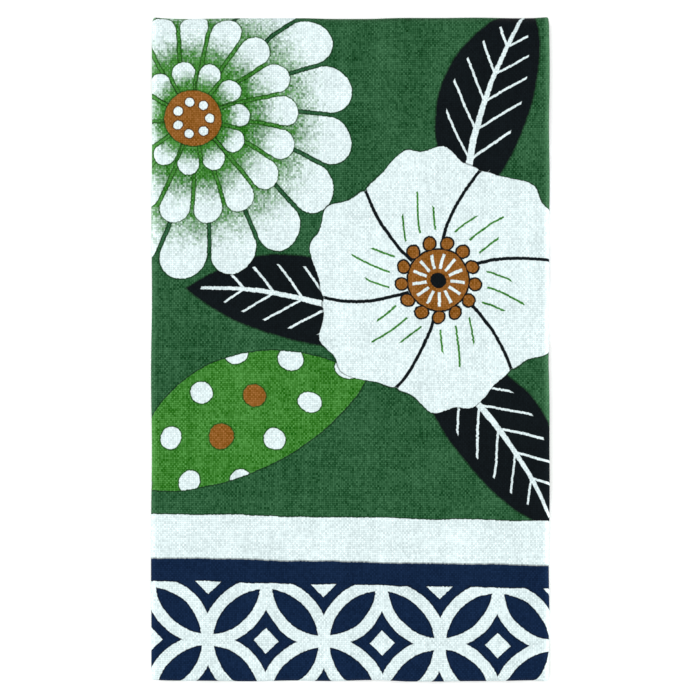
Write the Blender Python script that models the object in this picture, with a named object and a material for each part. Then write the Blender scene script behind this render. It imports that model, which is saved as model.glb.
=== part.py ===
"""A cotton tenugui towel, folded flat, in metres.

The cloth is folded in thirds across its width, which makes a strip of three plies. The strip is folded along
its length into five layers: the face lies on top, the layers at its two ends turn under it, and both cut
ends are out of sight. +X runs across the face, +Y towards the fold at its top, and +Z up. The origin is under
the middle of the towel, on the surface that it lies on.
"""

import math
from typing import NamedTuple

import bmesh
import bpy

# The cloth as it is woven, and the face that the folds leave on top
CLOTH_WIDTH = 0.340
CLOTH_LENGTH = 0.900
PLIES_ACROSS = 3
FACE_WIDTH = CLOTH_WIDTH / PLIES_ACROSS
FACE_LENGTH = 0.1888

# The strip of three plies, and the air between one layer of it and the next
STRIP_THICKNESS = 0.0010
LAYER_GAP = 0.00035
LAYER_PITCH = STRIP_THICKNESS + LAYER_GAP

# How the folds lie inside one another, each measured back from the end of the face
BASE_FOLD_BACK = 0.0005
TUCKED_FOLD_BACK = STRIP_THICKNESS + 0.0015
BASE_END_BACK = 0.0060

# The soft unevenness of folded cloth
CROWN = 0.0006
SETTLE_RUN = 0.0280
CORNER_EASE = 0.0006
CORNER_REACH = 0.0070

# How finely the solid follows the cloth
RUN_STEPS = 12
FOLD_STEPS = 8
WRAP_STEPS = 10
ACROSS_STEPS = 10
EDGE_STEPS = 4

CLOTH_COLOUR = (0.027, 0.112, 0.045, 1.0)
CLOTH_ROUGHNESS = 0.9

TOP_SIDE = 1
BOTTOM_SIDE = -1


class Layer(NamedTuple):
    """One flat run of the strip."""

    level: int
    sideways: float
    narrower: float


class Station(NamedTuple):
    """A place along the strip: its middle, the way its outer side faces, and how it lies sideways."""

    y: float
    z: float
    normal_y: float
    normal_z: float
    sideways: float
    narrower: float


LAYERS = {
    "face": Layer(level=4, sideways=0.0, narrower=0.0),
    "under": Layer(level=3, sideways=-0.0002, narrower=0.0006),
    "tail": Layer(level=2, sideways=0.0003, narrower=0.0012),
    "back": Layer(level=1, sideways=0.0002, narrower=0.0006),
    "base": Layer(level=0, sideways=-0.0003, narrower=0.0009),
}


def height_of(layer):
    """The height of the middle of a layer, before it settles."""
    return STRIP_THICKNESS / 2 + layer.level * LAYER_PITCH


def fold_radius(first, second):
    """The radius at which the strip's middle turns from one layer to another."""
    return abs(height_of(second) - height_of(first)) / 2


def fold_centre(first, second, side, back):
    """Where along Y a fold turns, so that it reaches to a distance back from the end of the face."""
    return side * (FACE_LENGTH / 2 - back - STRIP_THICKNESS / 2 - fold_radius(first, second))


def run(layer, start, end):
    """Stations along a flat layer, from one place along Y to another."""
    facing = 1.0 if end > start else -1.0
    places = [start + (end - start) * step / RUN_STEPS for step in range(RUN_STEPS + 1)]
    return [
        Station(y, height_of(layer), 0.0, facing, layer.sideways, layer.narrower)
        for y in places
    ]


def fold(first, second, side, back, steps):
    """Stations round a fold, between the ends of the two layers that it joins."""
    radius = fold_radius(first, second)
    centre_y = fold_centre(first, second, side, back)
    centre_z = (height_of(first) + height_of(second)) / 2
    rising = 1.0 if second.level > first.level else -1.0
    outer = -1.0 if side * rising > 0 else 1.0
    stations = []
    for step in range(1, steps):
        share = step / steps
        angle = rising * math.pi * (share - 0.5)
        out_y = side * math.cos(angle)
        out_z = math.sin(angle)
        stations.append(
            Station(
                centre_y + radius * out_y,
                centre_z + radius * out_z,
                outer * out_y,
                outer * out_z,
                first.sideways + share * (second.sideways - first.sideways),
                first.narrower + share * (second.narrower - first.narrower),
            )
        )
    return stations


def tail_end(layers):
    """Where along Y the tucked end stops, so that the whole cloth has its real length."""
    face, under, tail, back, base = layers
    tucked_turn = fold_centre(tail, under, TOP_SIDE, TUCKED_FOLD_BACK)
    face_turn = fold_centre(under, face, BOTTOM_SIDE, 0.0)
    wrap_turn = fold_centre(face, back, TOP_SIDE, 0.0)
    base_turn = fold_centre(back, base, BOTTOM_SIDE, BASE_FOLD_BACK)
    base_end = FACE_LENGTH / 2 - BASE_END_BACK
    flat = (tucked_turn - face_turn) + (wrap_turn - face_turn) + (wrap_turn - base_turn) + (base_end - base_turn)
    turns = ((tail, under), (under, face), (face, back), (back, base))
    round_the_folds = sum(math.pi * fold_radius(first, second) for first, second in turns)
    return tucked_turn - (CLOTH_LENGTH - flat - round_the_folds)


def strip_path():
    """Stations from the tucked cut end, round every fold, to the cut end underneath."""
    face, under, tail, back, base = (LAYERS[name] for name in ("face", "under", "tail", "back", "base"))
    tucked_turn = fold_centre(tail, under, TOP_SIDE, TUCKED_FOLD_BACK)
    face_turn = fold_centre(under, face, BOTTOM_SIDE, 0.0)
    wrap_turn = fold_centre(face, back, TOP_SIDE, 0.0)
    base_turn = fold_centre(back, base, BOTTOM_SIDE, BASE_FOLD_BACK)
    return [
        *run(tail, tail_end((face, under, tail, back, base)), tucked_turn),
        *fold(tail, under, TOP_SIDE, TUCKED_FOLD_BACK, FOLD_STEPS),
        *run(under, tucked_turn, face_turn),
        *fold(under, face, BOTTOM_SIDE, 0.0, FOLD_STEPS),
        *run(face, face_turn, wrap_turn),
        *fold(face, back, TOP_SIDE, 0.0, WRAP_STEPS),
        *run(back, wrap_turn, base_turn),
        *fold(back, base, BOTTOM_SIDE, BASE_FOLD_BACK, FOLD_STEPS),
        *run(base, base_turn, FACE_LENGTH / 2 - BASE_END_BACK),
    ]


def cross_section():
    """Points round the strip as (across, out): its outer side, a round edge, its inner side, a round edge."""
    half = STRIP_THICKNESS / 2
    flat_half = FACE_WIDTH / 2 - half
    across = [flat_half * (2 * step / ACROSS_STEPS - 1) for step in range(ACROSS_STEPS + 1)]
    turns = [math.pi * step / EDGE_STEPS for step in range(1, EDGE_STEPS)]
    right_edge = [(flat_half + half * math.sin(turn), half * math.cos(turn)) for turn in turns]
    left_edge = [(-flat_half - half * math.sin(turn), -half * math.cos(turn)) for turn in turns]
    outer_side = [(x, half) for x in across]
    inner_side = [(x, -half) for x in reversed(across)]
    return outer_side + right_edge + inner_side + left_edge


def smooth(share):
    """A share from 0 to 1, eased at both ends."""
    held = min(max(share, 0.0), 1.0)
    return held * held * (3 - 2 * held)


def corner_ease(x, y):
    """How far a corner of the towel draws in along Y."""
    near_side = smooth(1 - (FACE_WIDTH / 2 - abs(x)) / CORNER_REACH)
    near_end = smooth(1 - (FACE_LENGTH / 2 - abs(y)) / CORNER_REACH)
    return -math.copysign(CORNER_EASE * near_side * near_end, y)


def placed(station, across, out, tail_stop):
    """A point of the strip in space, with the cloth's unevenness.

    The air between the layers lets the middle rise, and past the tucked end the layers above it settle onto
    those below.
    """
    x = across * (1 - 2 * station.narrower / FACE_WIDTH) + station.sideways
    y = station.y + out * station.normal_y
    z = station.z + out * station.normal_z
    risen = (station.z - height_of(LAYERS["base"])) / (height_of(LAYERS["face"]) - height_of(LAYERS["base"]))
    crown = (1 - (2 * x / FACE_WIDTH) ** 2) * (1 - min(abs(2 * y / FACE_LENGTH), 1) ** 2)
    above_tail = station.z > (height_of(LAYERS["tail"]) + height_of(LAYERS["under"])) / 2
    settled = LAYER_PITCH * smooth((tail_stop - station.y) / SETTLE_RUN) if above_tail else 0.0
    return x, y + corner_ease(x, y), z + risen * CROWN * crown - settled


def cotton():
    """The dyed cotton."""
    material = bpy.data.materials.new("dyed_cotton")
    material.use_nodes = True
    shader = material.node_tree.nodes["Principled BSDF"]
    shader.inputs["Base Color"].default_value = CLOTH_COLOUR
    shader.inputs["Roughness"].default_value = CLOTH_ROUGHNESS
    return material


def towel():
    """The folded cloth: one closed sheet, swept along the strip's path."""
    path = strip_path()
    section = cross_section()
    tail_stop = path[0].y
    shape = bmesh.new()
    rings = [
        [shape.verts.new(placed(station, across, out, tail_stop)) for across, out in section]
        for station in path
    ]
    for ring, following in zip(rings, rings[1:]):
        for here in range(len(section)):
            after = (here + 1) % len(section)
            shape.faces.new((ring[here], ring[after], following[after], following[here]))
    shape.faces.new(rings[0][::-1])
    shape.faces.new(rings[-1])
    bmesh.ops.recalc_face_normals(shape, faces=shape.faces[:])
    mesh = bpy.data.meshes.new("towel")
    shape.to_mesh(mesh)
    shape.free()
    mesh.shade_smooth()
    mesh.set_sharp_from_angle(angle=math.radians(50))
    mesh.materials.append(cotton())
    made = bpy.data.objects.new("towel", mesh)
    bpy.context.scene.collection.objects.link(made)
    return made


def main():
    """Clears the scene and builds the towel."""
    for old in list(bpy.data.objects):
        bpy.data.objects.remove(old)
    towel()


if __name__ == "__main__":
    main()
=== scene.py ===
"""The looks of a cotton tenugui towel that lies folded flat.

The whole cloth is modelled. It is folded in thirds across its width, and then back and forth along its
length, so that the packet shows its fifteen plies at the sides. Lengths are metres in the geometry, and
millimetres in the design on the cloth. +X runs across the face, +Y towards the fold at its top, and +Z up.
"""

import logging
import math
from dataclasses import dataclass
from enum import Enum, IntEnum
from functools import cached_property
from typing import Callable, NamedTuple, Sequence, Union

import bpy
import numpy as np
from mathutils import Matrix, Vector


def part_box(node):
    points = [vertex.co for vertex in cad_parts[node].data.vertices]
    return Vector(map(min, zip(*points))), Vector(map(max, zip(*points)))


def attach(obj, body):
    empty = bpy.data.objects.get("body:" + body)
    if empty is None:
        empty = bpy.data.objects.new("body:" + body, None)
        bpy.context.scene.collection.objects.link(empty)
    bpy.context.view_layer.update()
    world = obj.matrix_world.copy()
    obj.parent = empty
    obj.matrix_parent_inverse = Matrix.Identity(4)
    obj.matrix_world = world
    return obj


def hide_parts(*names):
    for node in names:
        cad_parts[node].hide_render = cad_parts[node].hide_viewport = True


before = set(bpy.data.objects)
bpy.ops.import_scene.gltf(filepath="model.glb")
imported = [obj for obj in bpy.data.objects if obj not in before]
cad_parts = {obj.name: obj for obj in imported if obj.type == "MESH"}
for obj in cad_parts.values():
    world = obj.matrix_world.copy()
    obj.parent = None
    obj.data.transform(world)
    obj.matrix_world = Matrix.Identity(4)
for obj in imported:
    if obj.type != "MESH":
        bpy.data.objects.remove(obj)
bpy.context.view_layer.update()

log = logging.getLogger("tenugui")

MM = 0.001
CLOTH_NODE = "towel"
BODY = "root"

PLACE_MAP = "ClothPlace"
BAKE_MAP = "OFBake"
REVERSE_MARK = "reverse_side"

# The mix node's sockets for colours go by number, since those for other values have the same names.
MIX_SHARE = 0
MIX_UNDER = 6
MIX_OVER = 7
MIX_RESULT = 2

# The cloth's irregular waves: how many, each one's length as a share of the last, and the first's height.
WAVES = 5
WAVE_SHRINK = 0.72
WAVE_HEIGHT = 0.42

Colour = tuple[float, float, float, float]
Socket = bpy.types.NodeSocket
Number = Union["Signal", float]


def linear(*screen: float) -> Colour:
    """Turns a screen's red, green and blue, 0 to 255, into the linear colour that light works with."""
    shares = (value / 255 for value in screen)
    return (*(s / 12.92 if s <= 0.04045 else ((s + 0.055) / 1.055) ** 2.4 for s in shares), 1.0)


class Tint(NamedTuple):
    """A dye's colour, and how strongly the weave shows through it."""

    colour: Colour
    contrast: float


class Dye(Enum):
    """The dyes of the design, and the bare cloth between them."""

    CLOTH = Tint(linear(222, 238, 239), 0.38)
    GROUND_GREEN = Tint(linear(42, 89, 55), 1.05)
    NAVY = Tint(linear(10, 33, 63), 0.7)
    LEAF_GREEN = Tint(linear(61, 127, 47), 0.9)
    BROWN = Tint(linear(140, 89, 34), 0.7)
    BLACK = Tint(linear(8, 16, 20), 0.75)


def maths_method(operation: str) -> Callable[..., "Signal"]:
    """Makes a method that puts a signal, and other numbers after it, through a maths node.

    Args:
        operation: The node's operation.

    Returns:
        The method.
    """

    def method(self: "Signal", *others: Number) -> "Signal":
        """The maths node's result for this signal and the other numbers."""
        return self.sketch.maths(operation, self, *others)

    return method


@dataclass(frozen=True)
class Signal:
    """A number that changes over the surface, as a node's output that formulas are written with."""

    sketch: "Sketch"
    socket: Socket

    # Lower and higher give one of two numbers, and above gives 1 where this number is, and 0 elsewhere.
    __add__ = maths_method("ADD")
    __radd__ = maths_method("ADD")
    __sub__ = maths_method("SUBTRACT")
    __mul__ = maths_method("MULTIPLY")
    __truediv__ = maths_method("DIVIDE")
    __abs__ = maths_method("ABSOLUTE")
    floor = maths_method("FLOOR")
    sine = maths_method("SINE")
    cosine = maths_method("COSINE")
    lower = maths_method("MINIMUM")
    higher = maths_method("MAXIMUM")
    above = maths_method("GREATER_THAN")

    def __rsub__(self, other: float) -> "Signal":
        """Another number less this."""
        return self.sketch.maths("SUBTRACT", other, self)

    def wrapped(self, period: float) -> "Signal":
        """This number brought back to within half a period of 0."""
        return self.sketch.maths("WRAP", self, period / 2, -period / 2)

    def rise(self, start: float, end: float) -> "Signal":
        """Climbs smoothly from 0 at one value to 1 at another.

        Args:
            start: Where it gives 0, which may be the higher of the two.
            end: Where it gives 1.

        Returns:
            A mask.
        """
        inputs = {
            "Value": self,
            "From Min": min(start, end),
            "From Max": max(start, end),
            "To Min": float(start > end),
            "To Max": float(start < end),
        }
        made = self.sketch.node("ShaderNodeMapRange", inputs, interpolation_type="SMOOTHSTEP")
        return self.sketch.out(made, "Result")


class Place(NamedTuple):
    """A place on the flat cloth, in millimetres, or the numbers of the two threads that cross there."""

    x: Signal
    y: Signal


class Spot(NamedTuple):
    """Where a motif is drawn: a place in the design, that on the whole cloth, and the thread crossing."""

    place: Place
    whole: Place
    crossing: Place


@dataclass(frozen=True)
class Sketch:
    """Adds nodes to one node tree, so that shapes and textures can be written as formulas."""

    tree: bpy.types.NodeTree

    def feed(self, socket: Socket, value: object) -> None:
        """Links a signal or a socket to an input, or sets the input to a plain value.

        Args:
            socket: The input.
            value: A signal, an output socket, a number or a colour.
        """
        source = value.socket if isinstance(value, Signal) else value
        if isinstance(source, Socket):
            self.tree.links.new(source, socket)
        else:
            socket.default_value = source

    def fill(self, made: bpy.types.Node, inputs: dict) -> None:
        """Feeds some of a node's inputs, which go by their names or numbers."""
        for name, value in inputs.items():
            self.feed(made.inputs[name], value)

    def node(self, kind: str, inputs: dict | None = None, **settings: object) -> bpy.types.Node:
        """Adds a node.

        Args:
            kind: The node's type name.
            inputs: What goes into its inputs, by their names or numbers.
            **settings: Properties to set on it.

        Returns:
            The new node.
        """
        made = self.tree.nodes.new(kind)
        for name, value in settings.items():
            setattr(made, name, value)
        self.fill(made, inputs or {})
        return made

    def out(self, made: bpy.types.Node, name: int | str = 0) -> Signal:
        """One of a node's outputs."""
        return Signal(self, made.outputs[name])

    def maths(self, operation: str, *values: Number) -> Signal:
        """The result of a maths node."""
        return self.out(self.node("ShaderNodeMath", dict(enumerate(values)), operation=operation))

    def vector(self, x: Number, y: Number, z: Number = 0.0) -> Socket:
        """Three numbers joined into a vector."""
        return self.node("ShaderNodeCombineXYZ", {"X": x, "Y": y, "Z": z}).outputs[0]

    def split(self, vector: Socket) -> Place:
        """The first two numbers of a vector."""
        made = self.node("ShaderNodeSeparateXYZ", {0: vector})
        return Place(self.out(made, "X"), self.out(made, "Y"))

    def reach(self, x: Number, y: Number) -> Signal:
        """How far a place is from the origin."""
        made = self.node("ShaderNodeVectorMath", {0: self.vector(x, y)}, operation="LENGTH")
        return self.out(made, "Value")

    def noise(self, x: Number, y: Number, seed: float, size: float, detail: float = 2.0) -> Signal:
        """Soft noise from 0 to 1, by its seed, the size of its lumps, and its count of finer octaves."""
        inputs = {"Vector": self.vector(x, y, seed), "Scale": 1 / size, "Detail": detail}
        return self.out(self.node("ShaderNodeTexNoise", inputs, noise_dimensions="3D"))

    def chance(self, x: Number, y: Number, seed: float) -> Signal:
        """A random number from 0 to 1, its own for each pair of whole numbers."""
        inputs = {"Vector": self.vector(x, y, seed)}
        return self.out(self.node("ShaderNodeTexWhiteNoise", inputs, noise_dimensions="3D"), "Value")

    def blend(self, share: Number, under: object, over: object, way: str = "MIX") -> Socket:
        """Lays one colour over another.

        Args:
            share: How much of it, from 0 to 1.
            under: The colour below, a socket or a value.
            over: The colour on top, a socket or a value.
            way: Blender's name for how the two mix.

        Returns:
            The colour's socket.
        """
        inputs = {MIX_SHARE: share, MIX_UNDER: under, MIX_OVER: over}
        made = self.node("ShaderNodeMix", inputs, data_type="RGBA", blend_type=way, clamp_result=True)
        return made.outputs[MIX_RESULT]


class Kind(Enum):
    """What a socket of a node group carries."""

    NUMBER = "NodeSocketFloat"
    VECTOR = "NodeSocketVector"
    COLOUR = "NodeSocketColor"


def new_group(name: str, inputs: dict[str, Kind], outputs: dict[str, Kind]) -> Sketch:
    """Starts a node group.

    Args:
        name: Its name.
        inputs: What each of its inputs carries.
        outputs: What each of its outputs carries.

    Returns:
        A sketch that adds nodes to it.
    """
    tree = bpy.data.node_groups.new(name, "ShaderNodeTree")
    for way, sockets in (("INPUT", inputs), ("OUTPUT", outputs)):
        for label, kind in sockets.items():
            tree.interface.new_socket(name=label, in_out=way, socket_type=kind.value)
    return Sketch(tree)


def new_material(name: str) -> tuple[bpy.types.Material, Sketch]:
    """Starts a material.

    Args:
        name: Its name.

    Returns:
        The material, and a sketch that adds nodes to it.
    """
    material = bpy.data.materials.new(name)
    material.use_nodes = True
    return material, Sketch(material.node_tree)


@dataclass
class Canvas:
    """The cloth as it is dyed so far: its colour, and how strongly the weave shows through it."""

    sketch: Sketch
    colour: object
    contrast: Number
    softness: float = 0.11
    pooled_width: float = 0.36
    pooled_left: Colour = (0.42, 0.42, 0.42, 1.0)

    def filled(self, distance: Signal) -> Signal:
        """1 inside a shape and 0 outside it, from the distance to its edge."""
        return distance.rise(self.softness, -self.softness)

    def dye(self, mask: Signal, dye: Dye) -> None:
        """Dyes what a mask covers."""
        self.colour = self.sketch.blend(mask, self.colour, dye.value.colour)
        self.contrast = self.contrast + mask * (dye.value.contrast - self.contrast)

    def lay(self, distance: Signal, dye: Dye, within: Number = 1.0) -> None:
        """Dyes a shape, with the dye around it pooled to a thin dark line along its edge.

        Args:
            distance: How far a place lies outside the shape's edge.
            dye: What the shape is dyed with, where the bare cloth takes dye away again.
            within: A mask that the shape is cut by.
        """
        rim = self.filled(distance - self.pooled_width) * within
        self.colour = self.sketch.blend(rim, self.colour, self.pooled_left, "MULTIPLY")
        self.dye(self.filled(distance) * within, dye)


@dataclass(frozen=True)
class Weave:
    """A plain weave of slightly uneven threads, as a node group."""

    name: str = "Plain weave"
    warp_pitch: float = 0.514
    weft_pitch: float = 0.579
    wander: float = 0.45
    wander_size: float = 26.0
    bunching: float = 0.12
    bunch_size: float = 2.6
    slub_length: float = 12.0
    slub_change: float = 3.7
    thread_share: float = 0.4
    tone_middle: float = 0.7
    tone_share: float = 0.6
    gap_start: float = 0.5
    gap_end: float = 0.12

    def build(self) -> bpy.types.NodeTree:
        """Builds the group.

        Returns:
            A node group that gives the threads' height, the gaps between them, how near their middles are,
            where the lengthwise ones are on top, how light each crossing is, and the numbers of the two
            threads that cross there.
        """
        numbers = dict.fromkeys(("Height", "Gap", "Middle", "Over", "Tone"), Kind.NUMBER)
        sketch = new_group(self.name, {"Place": Kind.VECTOR}, {**numbers, "Crossing": Kind.VECTOR})
        place = sketch.split(sketch.node("NodeGroupInput").outputs["Place"])
        across = self.uneven(place.x, place.y, seed=7.0) / self.warp_pitch
        along = self.uneven(place.y, place.x, seed=43.0) / self.weft_pitch
        warp_swing = (across * math.pi).sine()
        weft_swing = (along * math.pi).sine()
        over = warp_swing * weft_swing
        height = (abs(warp_swing) + over).higher(abs(weft_swing) - over) * 0.5
        open_share = sketch.chance((across + 0.5).floor(), (along + 0.5).floor(), seed=13.0)
        crossing = Place(across.floor(), along.floor())
        results = {
            "Height": height,
            "Gap": height.rise(self.gap_start, self.gap_end) * open_share,
            "Middle": (abs(warp_swing) + abs(weft_swing)) * 0.5,
            "Over": over,
            "Tone": self.tone(sketch, place, crossing, over),
            "Crossing": sketch.vector(*crossing),
        }
        sketch.node("NodeGroupOutput", results)
        return sketch.tree

    def uneven(self, side: Signal, length: Signal, seed: float) -> Signal:
        """A place across one set of threads, where they wander and bunch a little.

        Args:
            side: The even place across them.
            length: The place along them.
            seed: Picks one of many such sets.

        Returns:
            The uneven place across them.
        """
        noise = side.sketch.noise
        slow = noise(side, length, seed, self.wander_size, 1.0) - 0.5
        quick = noise(side, length / self.slub_length, seed, self.bunch_size, 1.0) - 0.5
        return side + slow * (self.wander * 2) + quick * (self.bunching * 2)

    def tone(self, sketch: Sketch, place: Place, crossing: Place, over: Signal) -> Signal:
        """How light each crossing is: its own chance, that of its thread, and the thread's slubs.

        Args:
            sketch: The group's sketch.
            place: The place on the flat cloth.
            crossing: The numbers of the two threads.
            over: Above 0 where the lengthwise thread is on top.

        Returns:
            The tone, around 0.
        """
        column, row = crossing
        x = place.x / self.slub_length
        y = place.y / self.slub_length
        warp_slub = sketch.noise(column * self.slub_change, y, seed=2.0, size=1.0, detail=1.0)
        weft_slub = sketch.noise(x, row * self.slub_change, seed=4.0, size=1.0, detail=1.0)
        warp_tone = sketch.chance(column, 0.0, seed=3.0) * self.thread_share + warp_slub
        weft_tone = sketch.chance(0.0, row, seed=5.0) * self.thread_share + weft_slub
        on_top = over.above(0.0)
        thread = on_top * warp_tone + (1 - on_top) * weft_tone - self.tone_middle
        return thread * self.tone_share + (sketch.chance(column, row, seed=8.0) - 0.5)


@dataclass(frozen=True)
class Leaf:
    """The outline of a leaf with pointed ends, a little curved."""

    centre: tuple[float, float]
    turn: float
    half_length: float
    half_width: float
    bend: float

    def local(self, place: Place) -> Place:
        """A place's distances along the leaf from its middle, and across it from its midrib.

        Args:
            place: The place in the design.

        Returns:
            The place in the leaf's own frame.
        """
        cosine = math.cos(math.radians(self.turn))
        sine = math.sin(math.radians(self.turn))
        x = place.x - self.centre[0]
        y = place.y - self.centre[1]
        along = x * cosine + y * sine
        straight = y * cosine - x * sine
        return Place(along, straight + along * along * (self.bend / self.half_length ** 2) - self.bend / 2)

    def distance(self, own: Place) -> Signal:
        """How far a place in the leaf's frame lies outside its edge, below 0 inside."""
        radius = (self.half_length ** 2 + self.half_width ** 2) / (2 * self.half_width)
        return own.x.sketch.reach(own.x, abs(own.y) + (radius - self.half_width)) - radius


@dataclass(frozen=True)
class DarkLeaf:
    """A near-black leaf with its veins left white."""

    leaf: Leaf
    vein_pitch: float = 8.5
    vein_slope: float = 1.15
    vein_half: float = 0.48
    midrib_half: float = 0.75
    edge: float = 2.8
    midrib_end: float = 0.88
    vein_end: float = 0.76

    def draw(self, canvas: Canvas, spot: Spot) -> None:
        """Draws the leaf.

        Args:
            canvas: What it is drawn on.
            spot: The place that it is drawn at.
        """
        own = self.leaf.local(spot.place)
        distance = self.leaf.distance(own)
        canvas.lay(distance, Dye.BLACK)
        taper = self.midrib_half / (2 * self.leaf.half_length)
        midrib = abs(own.y) + own.x * taper - self.midrib_half
        midrib = midrib.higher(own.x - self.leaf.half_length * self.midrib_end)
        canvas.dye(canvas.filled(midrib.higher(distance)), Dye.CLOTH)
        side = abs((own.x - abs(own.y) * self.vein_slope).wrapped(self.vein_pitch))
        vein = (side - self.vein_half).higher(own.x - self.leaf.half_length * self.vein_end)
        canvas.dye(canvas.filled(vein.higher(distance + self.edge)), Dye.CLOTH)


@dataclass(frozen=True)
class DottedLeaf:
    """A light green leaf strewn with white and brown dots."""

    leaf: Leaf
    dot_pitch: float = 13.5
    dot_radius: float = 3.2
    dot_change: float = 0.7

    def draw(self, canvas: Canvas, spot: Spot) -> None:
        """Draws the leaf, where every third dot is brown.

        Args:
            canvas: What it is drawn on.
            spot: The place that it is drawn at.
        """
        sketch = canvas.sketch
        own = self.leaf.local(spot.place)
        distance = self.leaf.distance(own)
        canvas.lay(distance, Dye.LEAF_GREEN)
        column = (own.x / self.dot_pitch).floor()
        shifted = own.y + (column * math.pi).cosine() * (self.dot_pitch / 4)
        row = (shifted / self.dot_pitch).floor()
        in_x = own.x - (column + 0.5) * self.dot_pitch
        in_y = shifted - (row + 0.5) * self.dot_pitch
        uneven = (sketch.chance(column, row, seed=31.0) - 0.5) * self.dot_change
        dot = sketch.reach(in_x, in_y) - self.dot_radius + uneven
        is_brown = ((column + row * 2) * (2 * math.pi / 3)).cosine().above(0.5)
        inside = canvas.filled(distance)
        canvas.lay(dot, Dye.CLOTH, inside * (1 - is_brown))
        canvas.lay(dot, Dye.BROWN, inside * is_brown)


def beside(radius: Signal, swing: Signal) -> Place:
    """How far along a spoke a place lies, and how far beside it, from its distance and its angle to it."""
    return Place(radius * swing.cosine(), radius * swing.sine())


class PetalRing(NamedTuple):
    """One ring of a flower's petals."""

    reach: float
    petals: int
    shift: float


@dataclass(frozen=True)
class RingFlower:
    """A round flower of many narrow petals in rings, sprayed to white towards the petals' tips."""

    centre: tuple[float, float] = (-45.0, 66.0)
    rings: tuple[PetalRing, ...] = (
        PetalRing(47.0, 17, 0.0),
        PetalRing(31.0, 17, 0.5),
        PetalRing(17.5, 11, 0.2),
    )
    gap: float = 0.7
    curl: float = 0.004
    tip_round: float = 0.9
    heart: float = 8.0
    seeds: int = 7
    seed_ring: float = 4.7
    seed_radius: float = 1.25
    spray_start: float = 0.36
    spray_end: float = 1.04
    spray_strength: float = 1.5
    spray_spread: float = 0.5
    cloud_size: float = 3.0
    speck_size: float = 0.9
    cloud_share: float = 0.5
    crossing_share: float = 0.35

    def draw(self, canvas: Canvas, spot: Spot) -> None:
        """Draws the flower.

        Args:
            canvas: What it is drawn on.
            spot: The place that it is drawn at.
        """
        sketch = canvas.sketch
        x = spot.place.x - self.centre[0]
        y = spot.place.y - self.centre[1]
        radius = sketch.reach(x, y)
        angle = sketch.maths("ARCTAN2", y, x)
        cloud = sketch.noise(x, y, seed=3.0, size=self.cloud_size)
        speck = sketch.noise(x, y, seed=9.0, size=self.speck_size, detail=1.0)
        crossing = sketch.chance(*spot.crossing, seed=11.0)
        grain = (cloud + speck) * self.cloud_share + crossing * self.crossing_share
        for ring in self.rings:
            step = 2 * math.pi / ring.petals
            along, side = beside(radius, (angle + radius * self.curl - ring.shift * step).wrapped(step))
            tip = ring.reach * (1 - math.sin(step / 2) * self.tip_round)
            width = along.lower(tip).higher(0.0) * math.tan(step / 2)
            distance = sketch.reach((along - tip).higher(0.0), side) - width + self.gap
            canvas.lay(distance, Dye.LEAF_GREEN)
            share = along.rise(ring.reach * self.spray_start, ring.reach * self.spray_end)
            sprayed = share * self.spray_strength - grain
            sprayed = sprayed.rise(-self.spray_spread, self.spray_spread)
            canvas.dye(sprayed * canvas.filled(distance), Dye.CLOTH)
        canvas.lay(radius - self.heart, Dye.BROWN)
        along, side = beside(radius, angle.wrapped(2 * math.pi / self.seeds))
        canvas.lay(sketch.reach(along - self.seed_ring, side) - self.seed_radius, Dye.CLOTH)


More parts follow.
